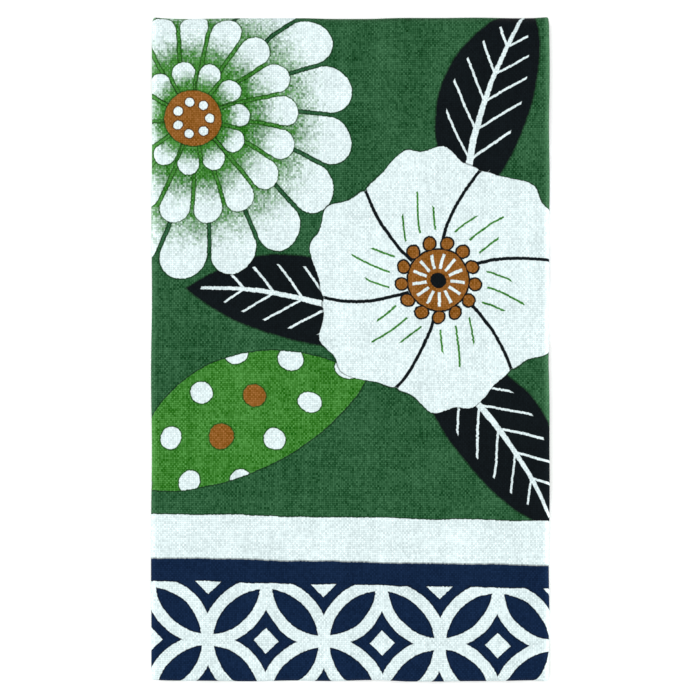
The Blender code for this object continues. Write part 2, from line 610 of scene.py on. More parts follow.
@dataclass(frozen=True)
class OpenFlower:
    """A large white flower of broad petals round a brown heart."""

    centre: tuple[float, float] = (25.0, 20.0)
    petals: int = 6
    petal_out: float = 19.5
    petal_radius: float = 18.0
    wave: float = 0.8
    wave_length: float = 11.5
    swirl: float = 0.011
    line_half: float = 0.5
    ray_pitch: float = 4.6
    ray_half: float = 0.3
    ray_slope: float = 1.1
    ray_end: float = 26.0
    ray_spread: float = 5.5
    heart: float = 8.6
    pistil: float = 2.3
    stamens: int = 13
    stamen_radius: float = 1.6
    stamen_sunk: float = 1.2
    thread_half: float = 0.42
    thread_start: float = 1.2
    thread_end: float = 1.1
    outline: float = 0.5

    def draw(self, canvas: Canvas, spot: Spot) -> None:
        """Draws the flower.

        Args:
            canvas: What it is drawn on.
            spot: The place that it is drawn at.
        """
        sketch = canvas.sketch
        x = spot.place.x - self.centre[0]
        y = spot.place.y - self.centre[1]
        radius = sketch.reach(x, y)
        angle = sketch.maths("ARCTAN2", y, x) + radius * self.swirl
        step = 2 * math.pi / self.petals
        swing = angle.wrapped(step)
        along, side = beside(radius, swing)
        distance = sketch.reach(along - self.petal_out, side) - self.petal_radius
        distance = distance + (side * (2 * math.pi / self.wave_length)).cosine() * self.wave
        canvas.lay(distance, Dye.CLOTH)
        inside = canvas.filled(distance)
        border = radius * (step / 2 - abs(swing)).sine()
        parting = (border - self.line_half).higher(self.heart + self.outline - radius)
        canvas.dye(canvas.filled(parting) * inside, Dye.BLACK)
        rays = abs((swing * radius).wrapped(self.ray_pitch)) - self.ray_half
        rays = rays.higher(radius + abs(side) * self.ray_slope - self.ray_end)
        rays = rays.higher(self.heart + self.ray_spread - radius).higher(abs(side) - self.ray_spread)
        canvas.dye(canvas.filled(rays) * inside, Dye.LEAF_GREEN)
        self.draw_heart(canvas, radius, angle)

    def draw_heart(self, canvas: Canvas, radius: Signal, angle: Signal) -> None:
        """Draws the flower's heart and stamens.

        Args:
            canvas: What they are drawn on.
            radius: The distance from the flower's centre.
            angle: The angle round it.
        """
        along, side = beside(radius, angle.wrapped(2 * math.pi / self.stamens))
        out = along - (self.heart + self.stamen_radius * self.stamen_sunk)
        shape = (canvas.sketch.reach(out, side) - self.stamen_radius).lower(radius - self.heart)
        canvas.dye(canvas.filled(shape - self.outline), Dye.BLACK)
        canvas.dye(canvas.filled(shape), Dye.BROWN)
        thread = (abs(side) - self.thread_half).higher(self.pistil + self.thread_start - radius)
        thread = thread.higher(radius - self.heart + self.thread_end)
        canvas.dye(canvas.filled(thread), Dye.CLOTH)
        canvas.dye(canvas.filled(radius - self.pistil), Dye.BLACK)


@dataclass(frozen=True)
class RingBand:
    """A navy band with a traditional pattern of linked rings, and a bare stripe above it."""

    top: float = -60.5
    stripe: float = 12.6
    slope: float = math.tan(math.radians(-1.1))
    ring_radius: float = 16.5
    ring_start: float = 9.0
    line_half: float = 1.6
    pattern_top: float = -67.0
    pattern_bottom: float = -106.5
    bottom: float = -113.0
    flower_half: float = 3.6

    def draw(self, canvas: Canvas, spot: Spot) -> None:
        """Draws the band and the stripe.

        Args:
            canvas: What they are drawn on.
            spot: The place that they are drawn at.
        """
        sketch = canvas.sketch
        radius = self.ring_radius
        level = spot.place.y - spot.whole.x * self.slope
        below = self.bottom - level
        canvas.lay((level - self.top - self.stripe).higher(below), Dye.CLOTH)
        canvas.lay((level - self.top).higher(below), Dye.NAVY)
        x = abs((spot.whole.x - self.ring_start).wrapped(2 * radius))
        y = abs((level - self.pattern_top + radius).wrapped(2 * radius))
        ring = abs(sketch.reach(x, y) - radius)
        next_ring = abs(sketch.reach(x - radius, y - radius) - radius)
        bloom = (x + y).lower(2 * radius - x - y) - self.flower_half
        lines = (ring.lower(next_ring) - self.line_half).lower(bloom)
        canvas.lay(lines.higher(level - self.pattern_top).higher(self.pattern_bottom - level), Dye.CLOTH)


@dataclass(frozen=True)
class FloralDesign:
    """The design on the cloth, as a node group: large flowers and leaves over a banded ground."""

    face_middle: float
    name: str = "Dyed design"
    repeat: tuple[float, float] = (206.0, 236.0)
    tooth: float = 0.17
    wobble: float = 1.1
    wobble_size: float = 13.0
    dark_leaves: tuple[DarkLeaf, ...] = (
        DarkLeaf(Leaf((40.0, 70.0), 72.0, 31.0, 13.0, 4.0)),
        DarkLeaf(Leaf((-14.0, 12.0), 166.0, 33.0, 12.0, -5.0)),
        DarkLeaf(Leaf((40.0, -24.0), -52.0, 33.0, 13.0, 5.0)),
    )
    dotted_leaf: DottedLeaf = DottedLeaf(Leaf((-31.0, -21.0), 24.0, 38.0, 16.5, 5.0))
    ring_flower: RingFlower = RingFlower()
    open_flower: OpenFlower = OpenFlower()
    band: RingBand = RingBand()

    def build(self) -> bpy.types.NodeTree:
        """Builds the group.

        Returns:
            A node group that gives the dyed colour, and how strongly the weave shows through it.
        """
        inputs = {"Place": Kind.VECTOR, "Crossing": Kind.VECTOR}
        sketch = new_group(self.name, inputs, {"Colour": Kind.COLOUR, "Contrast": Kind.NUMBER})
        given = sketch.node("NodeGroupInput").outputs
        spot = self.hand_drawn(sketch, sketch.split(given["Place"]), sketch.split(given["Crossing"]))
        canvas = Canvas(sketch, *Dye.GROUND_GREEN.value)
        for motif in (*self.dark_leaves, self.ring_flower, self.dotted_leaf, self.open_flower, self.band):
            motif.draw(canvas, spot)
        sketch.node("NodeGroupOutput", {"Colour": canvas.colour, "Contrast": canvas.contrast})
        return sketch.tree

    def hand_drawn(self, sketch: Sketch, flat: Place, threads: Place) -> Spot:
        """Brings a place on the cloth into one repeat of the design, with a hand's wobble.

        The dye stops at whole threads, so each thread's edge of a shape is shifted a little too.

        Args:
            sketch: The group's sketch.
            flat: The place on the flat cloth.
            threads: The numbers of the two threads that cross there.

        Returns:
            The spot, with its place in the design measured from the middle of the face.
        """
        sway_x = sketch.noise(flat.x, flat.y, seed=0.0, size=self.wobble_size, detail=1.0) - 0.5
        sway_y = sketch.noise(flat.y, flat.x, seed=5.0, size=self.wobble_size, detail=1.0) - 0.5
        tooth_x = sketch.chance(threads.y, 0.0, seed=21.0) - 0.5
        tooth_y = sketch.chance(threads.x, 0.0, seed=23.0) - 0.5
        whole = Place(
            flat.x + sway_x * self.wobble + tooth_x * self.tooth,
            flat.y - self.face_middle + sway_y * self.wobble + tooth_y * self.tooth,
        )
        repeated = Place(whole.x.wrapped(self.repeat[0]), whole.y.wrapped(self.repeat[1]))
        return Spot(repeated, whole, threads)


@dataclass(frozen=True)
class DyedCotton:
    """Plain-woven cotton with a dyed design, matt and faintly fuzzy."""

    weave: bpy.types.NodeTree
    design: bpy.types.NodeTree
    fold_line: float
    name: str = "dyed_cotton"
    reverse_fade: float = 0.3
    undyed_share: float = 0.31
    thread_light: float = 0.68
    crossing_light: float = 0.25
    # Painted shade: each thread darker towards its sides and lighter along its middle, as round yarn lit
    # from above.
    yarn_round_shade: float = 0.8
    yarn_round_shade_middle: float = 0.64
    # Painted shade: the gaps between the threads are darkened by this share, as hollows in shadow.
    gap_shade: float = 0.36
    streak_light: float = 0.45
    cross_streak_light: float = 0.27
    streak_size: float = 3.0
    streak_length: float = 16.0
    mottle_light: float = 0.5
    mottle_size: float = 12.0
    # Lighter along both fold lines at the face's sides: partly dye worn at the creases, partly a painted
    # highlight on the folds' rounded edges.
    fold_wear_and_highlight: float = 0.6
    fold_wear_and_highlight_reach: float = 2.1
    fold_wear_and_highlight_half: float = 0.3
    # Painted highlight: a lighter band along the right fold line, where that fold's soft roll faces the
    # light.
    round_fold_highlight: float = 0.6
    round_fold_highlight_reach: float = 1.5
    least: float = 0.0008
    roughness: float = 0.95
    dyed_smoothness: float = 0.06
    thread_smoothness: float = 0.08
    specular: float = 0.07
    sheen: float = 0.03
    sheen_roughness: float = 0.6
    bump_height: float = 0.00014
    bump_strength: float = 0.6

    def build(self) -> bpy.types.Material:
        """Builds the material.

        Returns:
            The material, which reads the flat cloth's place from the mesh.
        """
        material, sketch = new_material(self.name)
        place = sketch.node("ShaderNodeUVMap", uv_map=PLACE_MAP).outputs[0]
        weave = sketch.node("ShaderNodeGroup", {"Place": place}, node_tree=self.weave)
        spot = {"Place": place, "Crossing": weave.outputs["Crossing"]}
        design = sketch.node("ShaderNodeGroup", spot, node_tree=self.design)
        height = sketch.out(weave, "Height")
        contrast = sketch.out(design, "Contrast")
        light = self.light(sketch, sketch.split(place), weave) * contrast
        faded = self.faded(sketch, design.outputs["Colour"])
        bumps = {"Strength": self.bump_strength, "Distance": self.bump_height, "Height": height}
        smoothness = contrast * self.dyed_smoothness + height * self.thread_smoothness
        finish = {
            "Base Color": self.lit(sketch, faded, light),
            "Roughness": self.roughness - smoothness,
            "Normal": sketch.node("ShaderNodeBump", bumps).outputs["Normal"],
            "Specular IOR Level": self.specular,
            "Sheen Weight": self.sheen,
            "Sheen Roughness": self.sheen_roughness,
        }
        sketch.fill(material.node_tree.nodes["Principled BSDF"], finish)
        return material

    def faded(self, sketch: Sketch, colour: Socket) -> Socket:
        """The design, paler on the cloth's reverse side, where less dye comes through."""
        reverse = sketch.out(sketch.node("ShaderNodeAttribute", attribute_name=REVERSE_MARK), "Fac")
        return sketch.blend(reverse * self.reverse_fade, colour, Dye.CLOTH.value.colour)

    def lit(self, sketch: Sketch, colour: Socket, light: Signal) -> Socket:
        """Lightens and darkens the colour, partly with the grey of fibres that the dye has not reached.

        Args:
            sketch: The material's sketch.
            colour: The plain colour.
            light: How much lighter it gets, as a share of it, around 0.

        Returns:
            The finished colour.
        """
        grey = sketch.node("ShaderNodeRGBToBW", {0: colour}).outputs[0]
        paled = sketch.blend(self.undyed_share, colour, grey)
        change = {0: paled, 1: sketch.vector(light, light, light), 2: colour}
        changed = sketch.node("ShaderNodeVectorMath", change, operation="MULTIPLY_ADD").outputs[0]
        held = {0: changed, 1: (self.least, self.least, self.least)}
        return sketch.node("ShaderNodeVectorMath", held, operation="MAXIMUM").outputs[0]

    def light(self, sketch: Sketch, flat: Place, weave: bpy.types.Node) -> Signal:
        """How much lighter or darker the cloth is at a place than its plain colour, painted shade and
        highlights included.

        Args:
            sketch: The material's sketch.
            flat: The place on the flat cloth.
            weave: The weave's node.

        Returns:
            The change in lightness, as a share of it, around 0.
        """
        down = sketch.noise(flat.x, flat.y / self.streak_length, seed=61.0, size=self.streak_size) - 0.5
        across = sketch.noise(flat.x / self.streak_length, flat.y, seed=63.0, size=self.streak_size) - 0.5
        mottle = sketch.noise(flat.x, flat.y, seed=0.0, size=self.mottle_size) - 0.5
        # Partly wear, partly painted highlight along both fold lines.
        fold_wear_and_highlight_mask = abs(abs(flat.x) - self.fold_line).rise(self.fold_wear_and_highlight_reach, self.fold_wear_and_highlight_half)
        # Painted highlight along the right fold's roll.
        round_fold_highlight_mask = abs(flat.x - self.fold_line).rise(self.round_fold_highlight_reach, 0.0)
        return (
            sketch.out(weave, "Tone") * self.thread_light
            + sketch.out(weave, "Over") * self.crossing_light
            # painted shade on the threads' rounded sides
            + (sketch.out(weave, "Middle") - self.yarn_round_shade_middle) * self.yarn_round_shade
            + down * self.streak_light
            + across * self.cross_streak_light
            + mottle * self.mottle_light
            + fold_wear_and_highlight_mask * self.fold_wear_and_highlight
            + round_fold_highlight_mask * self.round_fold_highlight
            # painted shade in the gaps between threads
            - sketch.out(weave, "Gap") * self.gap_shade
        )


def put(name: str, data: bpy.types.ID) -> bpy.types.Object:
    """Adds an object to the scene.

    Args:
        name: Its name.
        data: Its mesh, lamp or camera.

    Returns:
        The object.
    """
    made = bpy.data.objects.new(name, data)
    bpy.context.scene.collection.objects.link(made)
    return made


def new_piece(
    name: str, points: np.ndarray, faces: Sequence[tuple[int, ...]], material: bpy.types.Material
) -> bpy.types.Object:
    """Makes a smooth piece.

    Args:
        name: Its name, and its mesh's.
        points: Its points, in an array of any shape that ends in their three coordinates.
        faces: The numbers of the points at each face's corners.
        material: What it is made of.

    Returns:
        The piece.
    """
    mesh = bpy.data.meshes.new(name)
    mesh.from_pydata(points.reshape(-1, 3).tolist(), [], faces)
    mesh.update()
    mesh.shade_smooth()
    mesh.materials.append(material)
    return put(name, mesh)


def read_numbers(items: bpy.types.bpy_prop_collection, name: str) -> np.ndarray:
    """Reads a whole number of each corner or face of a mesh.

    Args:
        items: The mesh's corners or faces.
        name: Which of their numbers to read.

    Returns:
        The numbers, in order.
    """
    numbers = np.empty(len(items), dtype=np.int64)
    items.foreach_get(name, numbers)
    return numbers


def write_map(mesh: bpy.types.Mesh, name: str, places: np.ndarray) -> None:
    """Writes a map of the mesh, which gives each corner of each face its place."""
    layer = mesh.uv_layers.new(name=name, do_init=False)
    layer.data.foreach_set("uv", places.ravel())


def smooth(share: np.ndarray) -> np.ndarray:
    """A share held between 0 and 1, and eased at both."""
    held = np.clip(share, 0.0, 1.0)
    return held * held * (3 - 2 * held)


def eased_shares(steps: int, pull: float) -> np.ndarray:
    """Shares from 0 to 1 that lie closer together towards both, by a pull between 0 and 1."""
    even = np.arange(steps + 1) / steps
    return even + pull * ((1 - np.cos(math.pi * even)) / 2 - even)


def ripples(x: np.ndarray, y: np.ndarray, seed: int, longest: float, fall: float = 1.0) -> np.ndarray:
    """Soft, irregular waves.

    Args:
        x: Places across the cloth.
        y: Places along it.
        seed: Picks one of many such surfaces.
        longest: The longest wavelength.
        fall: The height of each shorter wave, as a share of the one before it.

    Returns:
        Heights, nearly always between -1 and 1.
    """
    chance = np.random.default_rng(seed)
    total = np.zeros(np.broadcast(x, y).shape)
    for wave in range(WAVES):
        direction = chance.uniform(0, math.pi)
        phase = chance.uniform(0, 2 * math.pi)
        place = x * math.cos(direction) + y * math.sin(direction)
        turns = place / (longest * WAVE_SHRINK ** wave)
        total = total + WAVE_HEIGHT * fall ** wave * np.sin(2 * math.pi * turns + phase)
    return np.clip(total, -1.0, 1.0)


def outer_lengths(points: np.ndarray, facings: np.ndarray | float = 0.0, half: float = 0.0) -> np.ndarray:
    """The distance along a bent sheet, taken on the outer side of each bend, where cloth isn't stretched.

    Args:
        points: Places on the sheet's middle.
        facings: Which way one of its sides faces at each.
        half: Half of its thickness.

    Returns:
        Each place's distance from the first.
    """
    sides = (points + half * facings, points - half * facings)
    steps = [np.linalg.norm(np.diff(side, axis=0), axis=1) for side in sides]
    return np.concatenate([[0.0], np.cumsum(np.maximum(*steps))])


class Run(NamedTuple):
    """How a layer lies: its level, how far it is shifted sideways, and how far each side is drawn in."""

    level: int
    sideways: float
    narrower: float


class Layer(Enum):
    """The flat runs of the strip that the folds across the width make."""

    FACE = Run(4, 0.0, -0.00005)
    UNDER = Run(3, -0.0002, 0.0006)
    TAIL = Run(2, 0.0003, 0.0012)
    BACK = Run(1, 0.0002, 0.0006)
    BASE = Run(0, -0.0003, 0.0009)


class End(IntEnum):
    """An end of the face, as the side of the middle that it is on along Y."""

    TOP = 1
    BOTTOM = -1


class Turn(NamedTuple):
    """A fold that joins two layers at one end of the face."""

    first: Layer
    second: Layer
    end: End
    back: float
    steps: int


class Row(NamedTuple):
    """A place along the strip: its middle, which way its printed side faces, and its layers."""

    y: float
    z: float
    facing_y: float
    facing_z: float
    layer: Layer
    next_layer: Layer
    share: float

    def share_in(self, layer: Layer) -> float:
        """How much of it lies in a layer, where a fold passes from one to the next."""
        return (self.layer is layer) * (1 - self.share) + (self.next_layer is layer) * self.share


class Ply(NamedTuple):
    """A place across the cloth: where it lies in the strip, and which way its printed side faces."""

    across: float
    out: float
    facing_across: float
    facing_out: float


class Ring(NamedTuple):
    """Places round the cloth: where each lies in the strip and when flat, and if it is on the reverse."""

    places: np.ndarray
    flat: np.ndarray
    reverse: np.ndarray


class Corner(NamedTuple):
    """How far a corner of the packet is drawn in, and which sides of the middle it is on."""

    side: int
    end: End
    ease: float


class Box(NamedTuple):
    """A part of the map that textures are baked to."""

    left: float
    right: float
    low: float
    high: float

    def fit(self, u: np.ndarray, v: np.ndarray) -> np.ndarray:
        """Places on any scales, stretched to fill the box."""
        across = np.interp(u, (u.min(), u.max()), (self.left, self.right))
        return np.stack([across, np.interp(v, (v.min(), v.max()), (self.low, self.high))], axis=-1)


@dataclass(frozen=True)
class Crease:
    """A soft ridge, or a trough where its height is below 0, in a straight line on the face."""

    start: tuple[float, float]
    end: tuple[float, float]
    height: float
    half_width: float
    fade: float = 1.2

    def rise(self, x: np.ndarray, y: np.ndarray) -> np.ndarray:
        """How far the crease lifts the cloth.

        Args:
            x: Places across the face.
            y: Places along it.

        Returns:
            The lift at each place.
        """
        run = np.subtract(self.end, self.start)
        length = float(np.hypot(*run))
        unit = run / length
        along = (x - self.start[0]) * unit[0] + (y - self.start[1]) * unit[1]
        across = (y - self.start[1]) * unit[0] - (x - self.start[0]) * unit[1]
        faded = smooth(self.fade - np.abs(2 * along / length - 1))
        return self.height * faded * np.exp(-((across / self.half_width) ** 2))


@dataclass
class FoldedCloth:
    """The cloth, folded in thirds across its width and then back and forth along its length.

    The folds across the width make a strip of three plies, which is then folded into five layers.
    """

    face_width: float
    face_length: float
    cloth_width: float = 0.340
    cloth_length: float = 0.900
    ply: float = 0.00030
    strip: float = 0.0010
    layer_gap: float = 0.00035
    selvedge_short: float = 0.0015
    tucked_selvedge_short: float = 0.0009
    selvedge_round: float = 0.8
    base_end_back: float = 0.0060
    settle_run: float = 0.0280
    crown: float = 0.0006
    corner_reach: float = 0.0050
    end_reach: float = 0.0120
    side_wander: float = 0.00016
    side_wave: float = 0.11
    end_wander: float = 0.00020
    top_wave: float = 0.09
    bottom_wave: float = 0.08
    gap_wander: float = 0.85
    gap_wave: float = 0.085
    gap_fall: float = 0.65
    face_columns: int = 64
    hidden_columns: int = 30
    left_fold_columns: int = 7
    right_fold_columns: int = 9
    column_pull: float = 0.6
    face_rows: int = 98
    hidden_rows: int = 46
    row_pull: float = 0.5
    turns: tuple[Turn, ...] = (
        Turn(Layer.TAIL, Layer.UNDER, End.TOP, 0.0025, 8),
        Turn(Layer.UNDER, Layer.FACE, End.BOTTOM, -0.0002, 10),
        Turn(Layer.FACE, Layer.BACK, End.TOP, -0.0003, 14),
        Turn(Layer.BACK, Layer.BASE, End.BOTTOM, 0.0005, 8),
    )
    corners: tuple[Corner, ...] = (
        Corner(-1, End.BOTTOM, 0.0001),
        Corner(1, End.BOTTOM, -0.0002),
        Corner(-1, End.TOP, -0.0001),
        Corner(1, End.TOP, -0.0002),
    )
    creases: tuple[Crease, ...] = (
        Crease((-0.052, -0.020), (0.046, 0.004), 0.00022, 0.0075),
        Crease((-0.050, 0.034), (0.052, 0.030), -0.00016, 0.0090),
        Crease((0.012, -0.090), (0.030, 0.020), -0.00014, 0.0080),
        Crease((-0.030, 0.020), (-0.024, 0.092), 0.00014, 0.0070),
    )
    face_box: Box = Box(0.004, 0.598, 0.004, 0.996)
    base_box: Box = Box(0.618, 0.996, 0.004, 0.55)
    rest_box: Box = Box(0.618, 0.996, 0.56, 0.996)
    cut_box: Box = Box(0.6015, 0.612, 0.01, 0.99)
    cut_width: float = 0.004
    cut_corner: float = 0.7

    @property
    def pitch(self) -> float:
        """The height from one layer to the next."""
        return self.strip + self.layer_gap

    @property
    def ply_step(self) -> float:
        """The height from one ply to the next in the strip."""
        return (self.strip - self.ply) / 2

    def height_of(self, layer: Layer) -> float:
        """The height of the middle of a layer, before it settles."""
        return self.strip / 2 + layer.value.level * self.pitch

    def turn_radius(self, turn: Turn) -> float:
        """The radius of the strip's middle in a fold."""
        return abs(self.height_of(turn.second) - self.height_of(turn.first)) / 2

    def turn_centre(self, turn: Turn) -> float:
        """Where along Y a fold turns."""
        reach = turn.back + self.strip / 2 + self.turn_radius(turn)
        return turn.end * (self.face_length / 2 - reach)

    @property
    def base_stop(self) -> float:
        """Where along Y the cut end underneath stops."""
        return self.face_length / 2 - self.base_end_back

    @property
    def tail_stop(self) -> float:
        """Where along Y the tucked cut end stops, so that the whole cloth has its real length.

        Returns:
            Its place along Y.
        """
        tucked, low, wrap, base = (self.turn_centre(turn) for turn in self.turns)
        flat = (tucked - low) + (wrap - low) + (wrap - base) + (self.base_stop - base)
        turned = sum(math.pi * self.turn_radius(turn) for turn in self.turns)
        return tucked - (self.cloth_length - flat - turned)

    @cached_property
    def rows(self) -> list[Row]:
        """Places along the strip, from the tucked cut end to the one underneath.

        Returns:
            One row for each.
        """
        stops = [*(self.turn_centre(turn) for turn in self.turns), self.base_stop]
        rows = self.run(self.turns[0].first, self.tail_stop, stops[0])
        for turn, start, end in zip(self.turns, stops, stops[1:]):
            rows += self.bend(turn)
            rows += self.run(turn.second, start, end)
        return rows

    def run(self, layer: Layer, start: float, end: float) -> list[Row]:
        """Rows along a flat layer, closer together towards its ends.

        Args:
            layer: The layer.
            start: Where along Y it starts.
            end: Where it ends.

        Returns:
            Its rows.
        """
        shares = eased_shares(self.face_rows if layer is Layer.FACE else self.hidden_rows, self.row_pull)
        z = self.height_of(layer)
        facing = math.copysign(1.0, end - start)
        return [Row(start + (end - start) * share, z, 0.0, facing, layer, layer, 0.0) for share in shares]

    def bend(self, turn: Turn) -> list[Row]:
        """Rows round a fold, between the ends of the two layers that it joins.

        Args:
            turn: The fold.

        Returns:
            Its rows.
        """
        radius = self.turn_radius(turn)
        centre_y = self.turn_centre(turn)
        centre_z = (self.height_of(turn.first) + self.height_of(turn.second)) / 2
        rising = math.copysign(1.0, turn.second.value.level - turn.first.value.level)
        outer = -turn.end * rising
        rows = []
        for step in range(1, turn.steps):
            share = step / turn.steps
            angle = rising * math.pi * (share - 0.5)
            y = turn.end * math.cos(angle)
            z = math.sin(angle)
            place = (centre_y + radius * y, centre_z + radius * z, outer * y, outer * z)
            rows.append(Row(*place, turn.first, turn.second, share))
        return rows

    @cached_property
    def row_places(self) -> np.ndarray:
        """Each row's Y and Z, and how far its printed side faces along them."""
        return np.array([row[:4] for row in self.rows])

    @cached_property
    def flat_lengths(self) -> np.ndarray:
        """Each row's distance from the tucked cut end, along the flat cloth."""
        return outer_lengths(self.row_places[:, :2], self.row_places[:, 2:], self.strip / 2)

    @property
    def face_middle(self) -> float:
        """How far along the flat cloth the middle of the face is, in millimetres."""
        places = zip(self.rows, self.flat_lengths)
        return next((length - row.y) / MM for row, length in places if row.layer is Layer.FACE)

    def flat_ply(self, start: float, end: float, out: float, columns: int, facing: float) -> list[Ply]:
        """Places along a flat ply, closer together towards its ends."""
        shares = eased_shares(columns, self.column_pull)
        return [Ply(start + (end - start) * share, out, 0.0, facing) for share in shares]

    def ply_fold(self, across: float, out: float, radius: float, start: float, columns: int) -> list[Ply]:
        """Places round a fold across the width, between the two plies that it joins.

        Args:
            across: Where across the strip it turns.
            out: How far out of the strip's middle it turns.
            radius: The radius of the cloth's middle in it.
            start: The angle that it starts at, in half turns.
            columns: How many columns of faces go round it.

        Returns:
            The places.
        """
        angles = [math.pi * (start - step / columns) for step in range(1, columns)]
        facings = [(math.cos(angle), math.sin(angle)) for angle in angles]
        return [Ply(across + radius * x, out + radius * y, x, y) for x, y in facings]

    @cached_property
    def ply_line(self) -> list[Ply]:
        """The middle of the cloth across its width, from the tucked selvedge to the one underneath.

        Returns:
            Places on it.
        """
        half = self.face_width / 2
        step = self.ply_step
        left = -half + self.ply / 2 + step / 2
        right = half - self.ply / 2 - step
        hidden = self.hidden_columns
        return [
            *self.flat_ply(right - self.tucked_selvedge_short, left, 0.0, hidden, -1.0),
            *self.ply_fold(left, step / 2, step / 2, 1.5, self.left_fold_columns),
            *self.flat_ply(left, right, step, self.face_columns, 1.0),
            *self.ply_fold(right, 0.0, step, 0.5, self.right_fold_columns),
            *self.flat_ply(right, -half + self.selvedge_short, -step, hidden, -1.0),
        ]

    @cached_property
    def ring(self) -> Ring:
        """Places round the cloth: along its printed side, one at a selvedge, back, and one at the other.

        Returns:
            The places.
        """
        line = np.array(self.ply_line)
        half = self.ply / 2
        middle = line[:, :2]
        out = half * line[:, 2:]
        lengths = outer_lengths(middle, line[:, 2:], half)
        face_start = np.argmax(line[:, 3] == 1.0)
        flat = lengths - (lengths[face_start] - middle[face_start, 0])
        beyond = np.array([half * self.selvedge_round, 0.0])
        places = [middle + out, [middle[-1] - beyond], (middle - out)[::-1], [middle[0] + beyond]]
        flats = [flat, [flat[-1] + half], flat[::-1], [flat[0] - half]]
        reverse = np.repeat([0.0, 0.5, 1.0, 0.5], [len(line), 1, len(line), 1])
        return Ring(np.concatenate(places), np.concatenate(flats), reverse)

    def lie(self, places: np.ndarray) -> np.ndarray:
        """Lays places of the strip along all its rows, with all the cloth's unevenness.

        Args:
            places: Each place's distance across the strip, and out of its middle.

        Returns:
            The points, by row and then by place.
        """
        across, out = places.T[:, None, :]
        row_y, row_z, facing_y, facing_z = self.row_places.T[:, :, None]
        x = self.sideways(across, row_y)
        y = row_y + out * facing_y
        y = y + self.end_shift(x, y)
        level = (row_z - self.strip / 2) / self.pitch
        z = self.level_height(level, x, row_y) + out * facing_z
        return np.stack([x, y, z], axis=-1)

    def starts_in(self, *layers: Layer) -> np.ndarray:
        """Whether each row lies in one of some layers, or in the fold after it."""
        return np.array([row.layer in layers for row in self.rows])[:, None]

    def sideways(self, across: np.ndarray, y: np.ndarray) -> np.ndarray:
        """Where places lie across the packet, where each layer's sides wander by themselves.

        Args:
            across: Distances across the strip.
            y: Each row's place along Y.

        Returns:
            X for each row and place.
        """
        left = np.zeros_like(y)
        right = np.zeros_like(y)
        for layer in Layer:
            level, sideways, narrower = layer.value
            left_wave = ripples(0.0, y, seed=31 + level, longest=self.side_wave) * self.side_wander
            right_wave = ripples(0.0, y, seed=41 + level, longest=self.side_wave) * self.side_wander
            share = np.array([[row.share_in(layer)] for row in self.rows])
            left = left + share * (left_wave + narrower + sideways)
            right = right + share * (right_wave - narrower + sideways)
        from_left = across / self.face_width + 0.5
        return across + left * (1 - from_left) + right * from_left

    def near(self, side: int, place: np.ndarray, size: float, reach: float) -> np.ndarray:
        """How near places are to one side of the packet, from 1 there to 0 beyond the reach."""
        return smooth(1 - (size / 2 - side * place) / reach)

    def end_shift(self, x: np.ndarray, y: np.ndarray) -> np.ndarray:
        """How far the folds at the two ends wander along Y, and the corners draw in.

        Args:
            x: Places across the packet.
            y: Places along it.

        Returns:
            The shift along Y.
        """
        top = ripples(x, 0.0, seed=53, longest=self.top_wave) * self.starts_in(Layer.FACE, Layer.BACK)
        lower = ripples(x, 0.0, seed=57, longest=self.bottom_wave)
        upper = ripples(x, 0.0, seed=59, longest=self.bottom_wave)
        bottom = np.where(self.starts_in(Layer.BACK, Layer.BASE), lower, upper)
        near_top = self.near(End.TOP, y, self.face_length, self.end_reach)
        near_bottom = self.near(End.BOTTOM, y, self.face_length, self.end_reach)
        shift = self.end_wander * (near_top * top + near_bottom * bottom)
        for side, end, ease in self.corners:
            near_side = self.near(side, x, self.face_width, self.corner_reach)
            near_end = self.near(end, y, self.face_length, self.corner_reach)
            shift = shift - end * ease * near_side * near_end
        return shift

    def level_height(self, level: np.ndarray, x: np.ndarray, y: np.ndarray) -> np.ndarray:
        """The height of the strip's middle at a level, where the air under each layer varies.

        The layers above the tucked cut end settle by one layer beyond it.

        Args:
            level: The level, with parts of a level in a fold.
            x: Places across the packet.
            y: Places along it.

        Returns:
            The heights.
        """
        across = 1 - (2 * x / self.face_width) ** 2
        along = 1 - np.minimum(np.abs(2 * y / self.face_length), 1) ** 2
        lift = self.crown * across * along + sum(crease.rise(x, y) for crease in self.creases)
        settled = self.pitch * smooth((self.tail_stop - y) / self.settle_run)
        top = len(Layer) - 1
        heights = []
        below = np.full(np.broadcast(x, y).shape, self.strip / 2)
        for step in range(top + 1):
            drop = settled if step > Layer.TAIL.value.level else 0.0
            heights.append(below + step / top * lift - drop)
            wave = ripples(x, y, seed=71 + step, longest=self.gap_wave, fall=self.gap_fall)
            below = below + self.strip + self.layer_gap * (1 + self.gap_wander * wave)
        stack = np.stack(heights)
        lower = np.broadcast_to(np.clip(np.floor(level), 0, top - 1).astype(int), below.shape)[None]
        low = np.take_along_axis(stack, lower, axis=0)[0]
        high = np.take_along_axis(stack, lower + 1, axis=0)[0]
        share = level - lower[0]
        return low * (1 - share) + high * share

    def build(self, material: bpy.types.Material) -> bpy.types.Object:
        """Builds the whole cloth as one closed sheet.

        Args:
            material: What it is made of.

        Returns:
            The cloth.
        """
        made = new_piece("folded_cloth", self.lie(self.ring.places), self.faces(), material)
        self.map_cloth(made.data)
        self.map_bake(made.data)
        mark = made.data.attributes.new(REVERSE_MARK, "FLOAT", "POINT")
        mark.data.foreach_set("value", np.tile(self.ring.reverse, len(self.rows)).astype(np.float32))
        return made

